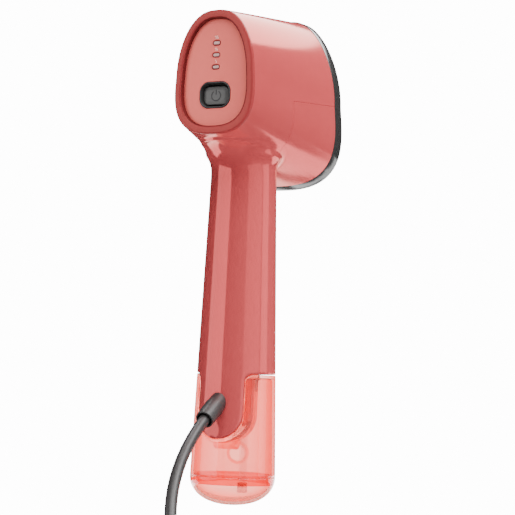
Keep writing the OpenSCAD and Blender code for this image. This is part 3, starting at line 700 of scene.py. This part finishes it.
def add_steam_marks():
    """Wavy steam lines above the lights: three, two and one, from the top light down."""
    wave = [(0.32 * math.sin(a / 2.0), a * 0.17 - 0.95) for a in range(12)]
    wave = [(x - 0.24, y) for x, y in wave] + [(x + 0.24, y) for x, y in wave[::-1]]
    letters = iter("abcdef")
    for i, shifts in ((2, (-0.75, 0, 0.75)), (1, (-0.45, 0.45)), (0, (0,))):
        up = LIGHT_Z + i * LIGHT_PITCH + 3.4
        for shift in shifts:
            flat_piece(f"steam_mark_{next(letters)}", [[(x + shift, y + up) for x, y in wave]], 0.1, 0.02,
                       on_rear(PANEL_Y + 0.02), MARK_PALE, "steamer")


def hole_arc(count, wide, high, up, start, step):
    """Middles of steam holes along an ellipse, at turns from its top, in degrees."""
    turns = [math.radians(start + step * i) for i in range(count)]
    return [(wide * math.sin(t), high * math.cos(t) + up) for t in turns]


def add_front():
    profile = rounded_path([(0, 0, 0.1), (0, RIM_T, 0.5), (4.0, RIM_T, 0.8), (4.6, 0, 0.3)], closed=True)
    rings = egg_rings((FRONT_W, FRONT_H, FRONT_EGG), profile, in_front(RIM_T),
                      flare=lambda inset, z: z - RIM_T)
    add_piece("front_rim_band", *rings_mesh(rings, wrap=True), "dark_plastic", "steamer", ["front_rim"])
    x, y = egg(FRONT_W - PLATE_INSET_W, FRONT_H - PLATE_INSET_H, FRONT_EGG, egg_turns())
    turns = arc_turns(0, 360, 15)
    holes = [[(a + HOLE_R * math.cos(t), b + HOLE_R * math.sin(t)) for t in turns]
             for a, b in hole_arc(9, 17, 20, 6, -120, 30) + hole_arc(5, 23, 26, -8, 100, 40)]
    flat_piece("steam_plate_face", [list(zip(x, y)), *holes], PLATE_T, 0.45, in_front(-1.2), "plate_steel",
               "steamer", ["steam_plate"])


def dome_line(r, deep, degrees):
    """Corners down the domed bottom of the tank, at angles from its lowest point."""
    return [(r * math.sin(a) ** DOME_POWER, SEAM_Z - deep * math.cos(a) ** DOME_POWER, 0)
            for a in np.radians(degrees)]


def add_tank():
    points, faces = field_surface(tank_field, (-28, -28, 14), (28, 28, 81), 0.7)
    add_piece("tank_wall", points, faces, "tank_red", "tank", ["tank_body"], sharp=50)
    middle, below_spigot = upright(0, 0, 0), upright(0, SPIGOT_Y, 0)
    corners = dome_line(FOOT_R, SEAM_Z, np.arange(0, 89.9, 2))
    corners += [(FOOT_R, SEAM_Z - 0.35, 0.3), (FOOT_R - 0.3, SEAM_Z, 0.2), (FOOT_R - 1.85, SEAM_Z, 0.2)]
    corners += dome_line(FOOT_R - DOME_WALL, SEAM_Z - TANK_WALL, np.arange(84, -0.1, -2))
    turned("tank_dome", corners, middle, DOME_CLEAR, "tank", ["tank_base"], sides=128, steps=3)
    ring_out, ring_in = FOOT_R - 1.95, FOOT_R - 3.6
    turned("tank_seam_ring", [(ring_out, SEAM_Z - RING_DOWN, 0.2), (ring_out, SEAM_Z + RING_UP, 0.3),
                              (ring_in, SEAM_Z + RING_UP, 0.3), (ring_in, SEAM_Z - RING_DOWN, 0.6)],
           middle, SEAM_RED, "tank", ["tank_base"], sides=128, closed=True, steps=3)
    turned("pickup_pipe", [(2.65, 9.6, 0.2), (2.65, 71, 0.2), (1.8, 71, 0.2), (1.8, 9.6, 0.2)],
           below_spigot, PIPE_CLEAR, "tank", ["pickup_tube"], sides=48, closed=True)
    turned("pickup_filter", [(0, 6.1, 0), (3.2, 6.1, 0.6), (3.2, 8, 0.2), (2.9, 8.3, 0.2), (3.2, 8.6, 0.2),
                             (3.2, 12.6, 0.4), (2.66, 12.6, 0.1), (2.66, 9.6, 0.1), (0, 9.6, 0)],
           below_spigot, "tank_trim", "tank", ["suction_filter"], sides=48)
    turned("tank_port_ring", [(2.7, 68, 0.2), (7, 68, 0.5), (7, TANK_TOP_Z, 0.5), (5.1, TANK_TOP_Z, 0.4),
                              (5.1, 71.2, 0.3), (2.7, 71.2, 0.2)],
           below_spigot, "silicone", "tank", ["tank_port"], sides=64, closed=True)


def add_filler():
    place = upright(0, 0, FILLER_Z) @ Matrix.Rotation(FILLER_TURN, 4, "Z") @ spin(90, "X")
    turned("filler_stopper", [(0, 20, 0), (4.2, 20, 0.8), (4.8, 21.2, 0.4), (4.8, 25.8, 0.2), (7, 25.8, 0.3),
                              (7, 27.4, 0.8), (3.2, 27.2, 1.5), (0, 26.9, 0)], place, DOME_CLEAR, "filler",
           ["filler_plug"], sides=64)
    flat_piece("filler_pull_tab", [pad_outline(4.4, 5.2, 1.6)], 1.5, 0.35,
               place @ Matrix.Translation((0, 7.7, 27.35)), DOME_CLEAR, "filler")


# ---------- the mains lead ----------

LEAD_PULL = [(0, 36.2, 53.3), (0, 148.5, -14.2), (-61, 115, -52), (-27, 108, -50), (-49.4, 108, -66.6),
             (-49.4, 79, -66.6)]
END_PULL = [(0, 27.9, -59.8), (49, 27.9, -59.8), (51, 40, -51), (74, 49, -51.5), (74, 74.8, -51.5)]
COIL_MIDDLE = (0.0, 79.0)
COIL_IN_R, COIL_PITCH, TURNS_DOWN, TURNS_UP = 29.0, 6.8, 3.0, 3.25
CLIMB = 0.17  # the lead climbs between the layers over this many turns to either side
TIE_GAP, TIE_T, TIE_W, TIE_TURN = 0.9, 0.8, 6.5, -40


def bend_line(pull, n):
    """Points along the smooth curve that the pull points draw."""
    line = []
    for i in range(n + 1):
        p = [np.array(q, float) for q in pull]
        while len(p) > 1:
            p = [mix(a, b, i / n) for a, b in zip(p, p[1:])]
        line.append(p[0])
    return line


def coil_line(per_turn=40):
    """In on the lower layer, up at the inside, and out on the upper layer."""
    low, high = SURFACE_Z + LEAD_R, SURFACE_Z + 3 * LEAD_R
    turns = np.linspace(-TURNS_DOWN, TURNS_UP, int((TURNS_DOWN + TURNS_UP) * per_turn) + 1)
    r = COIL_IN_R + COIL_PITCH * np.sqrt(turns ** 2 + 0.02)
    rise = np.clip((turns + CLIMB) / (2 * CLIMB), 0, 1)
    z = mix(low, high, rise * rise * (3 - 2 * rise))
    angle = math.pi + 2 * math.pi * (turns + TURNS_DOWN)
    return np.stack([COIL_MIDDLE[0] + r * np.cos(angle), COIL_MIDDLE[1] + r * np.sin(angle), z], 1)


def add_lead():
    line = np.concatenate((bend_line(LEAD_PULL, 52)[:-1], coil_line(), bend_line(END_PULL, 28)[1:]))
    curve = bpy.data.curves.new("mains_lead", "CURVE")
    curve.dimensions = "3D"
    curve.bevel_depth = LEAD_R * MM
    curve.bevel_resolution = 6
    curve.use_fill_caps = True
    spline = curve.splines.new("POLY")
    spline.points.add(len(line) - 1)
    for point, (x, y, z) in zip(spline.points, line):
        point.co = (x * MM, y * MM, (z - GRIP_Z) * MM, 1)
    spline.use_smooth = True
    lead = dress(new_object("mains_lead", curve), "cord_rubber", "steamer",
                 ["power_cord", "cord_coil", "cord_end"])
    turned("cord_bushing_sleeve", [(3.5, -11, 0.3), (7.2, -11, 0.5), (7.2, -8.6, 0.5), (5.4, -8.6, 0.3),
                                   (5.4, 4, 0.1), (5.8, 4, 0.2), (5.42, 18.4, 0.45), (4.4, 18.4, 0.3),
                                   (4.4, 13.2, 0.5), (3.5, 13.2, 0.1)],
           along_bushing(), "cord_rubber", "steamer", ["cord_bushing"], sides=96, closed=True)
    return lead


def add_plug():
    sleeve = [(3.45, 0, 0.2), (4.4, 0, 0.6)]
    for i in range(6):  # soft ribs of the strain relief
        z, r = 3.2 + i * 4.2, 4.5 + i * 0.36
        sleeve += [(r, z, 0.3), (r - 0.7, z + 0.7, 0.3), (r - 0.6, z + 1.7, 0.3), (r + 0.15, z + 2.4, 0.3)]
    sleeve += [(6.8, SLEEVE_L - 1.4, 0.5), (6.8, SLEEVE_L, 0.2), (3.45, SLEEVE_L, 0.1)]
    shell = [(0, 0, 0), (9.4, 0, 2.5), (12.5, 8, 6), (15, 19, 5), (PLUG_R, 26, 3), (PLUG_R, PLUG_L, 1.2),
             (0, PLUG_L, 0)]
    pieces = [turned("plug_relief", sleeve, along_plug(0), "cord_rubber", "steamer", ["plug_sleeve"],
                     sides=64, closed=True, steps=3),
              turned("plug_shell", shell, along_plug(SLEEVE_L), "cord_rubber", "steamer", ["plug_body"])]
    bar = [(0, 0, 0), (PIN_R, 0, 0), (PIN_R, PIN_L, 1.6), (0, PIN_L, 0)]
    collar = [(2.3, 0.4, 0.1), (3.3, 0.4, 0.3), (3.0, 1.1, 0.3), (2.3, 1.1, 0.1)]
    for i, x in enumerate((-PIN_APART / 2, PIN_APART / 2)):
        pin = along_plug(SLEEVE_L + PLUG_L - 0.4) @ Matrix.Translation((x, 0, 0))
        pieces.append(turned(f"plug_pin_{i + 1}", bar, pin, "pin_nickel", "steamer", ["plug_pins"], sides=48))
        pieces.append(turned(f"plug_collar_{i + 1}", collar, pin, "cord_rubber", "steamer", sides=48,
                             closed=True))
    return pieces


def add_tie():
    """A hook-and-loop band round the coil."""
    low, high = SURFACE_Z - TIE_GAP, SURFACE_Z + 4 * LEAD_R + TIE_GAP
    inner, outer = COIL_IN_R - LEAD_R - TIE_GAP, COIL_IN_R + TURNS_UP * COIL_PITCH + LEAD_R + TIE_GAP

    def outline(by, r):
        corners = [(inner + by, low + by, r), (outer - by, low + by, r), (outer - by, high - by, r),
                   (inner + by, high - by, r)]
        return rounded_path(corners, closed=True, steps=6)

    path, inside = outline(0, 3), outline(TIE_T, 2.4)
    turn = Matrix.Translation((*COIL_MIDDLE, 0)) @ spin(TIE_TURN, "Z")
    edge = TIE_W - 0.3
    rings = [[turn @ Vector((x, r, z)) for r, z in line]
             for x, line in ((-edge, inside), (-TIE_W, path), (0.5 - TIE_W, path), (0, path),
                             (TIE_W - 0.5, path), (TIE_W, path), (edge, inside))]
    return add_piece("cord_tie_band", *rings_mesh(rings, wrap=True), "black_rubber", "steamer", ["cord_tie"])


# ---------- set ----------

def add_softbox(camera, name, azimuth, elevation, wide, high, radiance, away=1.1, aim=(0, 0, 0)):
    """A rectangular light seen from aim, in degrees round from the camera: + is to its right or above."""
    a, e = math.radians(azimuth), math.radians(elevation)
    seen_from_camera = Vector((math.sin(a) * math.cos(e), math.sin(e), math.cos(a) * math.cos(e)))
    toward = camera.matrix_world.to_3x3() @ seen_from_camera
    data = bpy.data.lights.new(name, "AREA")
    data.shape = "RECTANGLE"
    data.size = 2 * away * math.tan(math.radians(wide / 2))
    data.size_y = 2 * away * math.tan(math.radians(high / 2))
    data.energy = radiance * math.pi * data.size * data.size_y
    light = new_object(name, data)
    light.location = Vector(aim) + away * toward
    light.rotation_euler = toward.to_track_quat("Z", "Y").to_euler()
    light.visible_camera = False
    return light


WORLD_LIT, WORLD_MIRRORED, WORLD_THROUGH, WORLD_SEEN = 0.35, 0.06, 4.0, 14.0


def add_world():
    """White where the camera looks, bright behind clear plastic, and dim for everything that is lit by it."""
    world = bpy.data.worlds.new("studio")
    bpy.context.scene.world = world
    world.use_nodes = True
    nodes, links = world.node_tree.nodes, world.node_tree.links
    path = nodes.new("ShaderNodeLightPath")
    shade = nodes["Background"]
    shade.inputs["Color"].default_value = (1, 1, 1, 1)
    shade.inputs["Strength"].default_value = WORLD_LIT
    for kind, strength in (("Is Glossy Ray", WORLD_MIRRORED), ("Is Transmission Ray", WORLD_THROUGH),
                           ("Is Camera Ray", WORLD_SEEN)):
        other = nodes.new("ShaderNodeBackground")
        other.inputs["Color"].default_value = (1, 1, 1, 1)
        other.inputs["Strength"].default_value = strength
        mixer = nodes.new("ShaderNodeMixShader")
        links.new(path.outputs[kind], mixer.inputs["Fac"])
        links.new(shade.outputs[0], mixer.inputs[1])
        links.new(other.outputs[0], mixer.inputs[2])
        shade = mixer
    links.new(shade.outputs[0], nodes["World Output"].inputs["Surface"])


FLOOR_R, FLOOR_SIDES = 0.55, 96


def add_floor():
    """A round pale floor that the lead lies on; it ends before it comes into the camera's view."""
    z = (SURFACE_Z - 1 - GRIP_Z) * MM
    turns = [2 * math.pi * i / FLOOR_SIDES for i in range(FLOOR_SIDES)]
    mesh = bpy.data.meshes.new("floor")
    mesh.from_pydata([(FLOOR_R * math.cos(t), FLOOR_R * math.sin(t), z) for t in turns], [],
                     [tuple(range(FLOOR_SIDES))])
    floor = new_object("floor", mesh)
    pale = shader("floor_pale", (0.80, 0.80, 0.80), 0.7, grain=0.1, mottle=0.01, mottle_mm=300)
    mesh.materials.append(pale)
    floor.visible_glossy = False


CARD_Z, CARD_GLOW = -0.212, 5.5
LOW_CARDS = {
    "low_card_front": ((0.25, -0.45), (0.16, -0.407), (0.07, -0.353), (0, -0.333), (-0.15, -0.342),
                       (-0.348, -0.398), (-1.47, -1.6), (0.25, -1.6)),
    "low_card_near": ((0.12, -0.355), (0.054, -0.325), (-0.004, -0.309), (-0.077, -0.31), (-0.15, -0.341),
                      (-0.348, -0.397), (-0.28, -0.32), (-0.10, -0.262), (0.12, -0.262)),
    "low_card_side": ((0.20, 0.05), (0.20, -0.45), (0.42, -0.45), (0.42, 0.05)),
}


def add_low_card(name, corners):
    """A bright card low beside the steamer, which only shows as a reflection under its head."""
    mesh = bpy.data.meshes.new(name)
    mesh.from_pydata([(x, y, CARD_Z) for x, y in corners], [], [tuple(range(len(corners)))])
    glow = bpy.data.materials.new(name + "_glow")
    glow.use_nodes = True
    shade = glow.node_tree.nodes["Principled BSDF"]
    shade.inputs["Base Color"].default_value = (0, 0, 0, 1)
    shade.inputs["Emission Color"].default_value = (1, 1, 1, 1)
    shade.inputs["Emission Strength"].default_value = CARD_GLOW
    mesh.materials.append(glow)
    card = new_object(name, mesh)
    card.visible_camera = card.visible_diffuse = card.visible_shadow = card.visible_transmission = False


def add_studio(camera):
    add_world()
    add_floor()
    add_softbox(camera, "softbox_left", -71, 10, 56, 50, 3.5).visible_diffuse = False
    add_softbox(camera, "softbox_middle", 44, 6, 50, 50, 1.2)
    add_softbox(camera, "softbox_right", 87, 8, 26, 40, 2.3)
    add_softbox(camera, "softbox_key", 40, 64, 80, 40, 8.1, away=1.4)
    add_softbox(camera, "softbox_back", 155, 48.5, 66, 42, 8.0, aim=(0, -0.01, 0.1))
    for name, corners in LOW_CARDS.items():
        add_low_card(name, corners)


def finish_cad_nodes():
    """Gives the CAD nodes that still show the materials of this script."""
    for part in frame["record"]["subparts"]:
        node = frame["nodes"][part["node"]]
        if not node.hide_render:
            node.data.materials.clear()
            node.data.materials.append(FINISHES[part["material_slot"]])


camera = add_camera()
lead = add_lead()
plug = add_plug()
tie = add_tie()
add_housings()
add_bezel()
add_panel()
add_button()
add_lights()
add_steam_marks()
add_front()
add_tank()
add_filler()
finish_cad_nodes()
add_studio(camera)
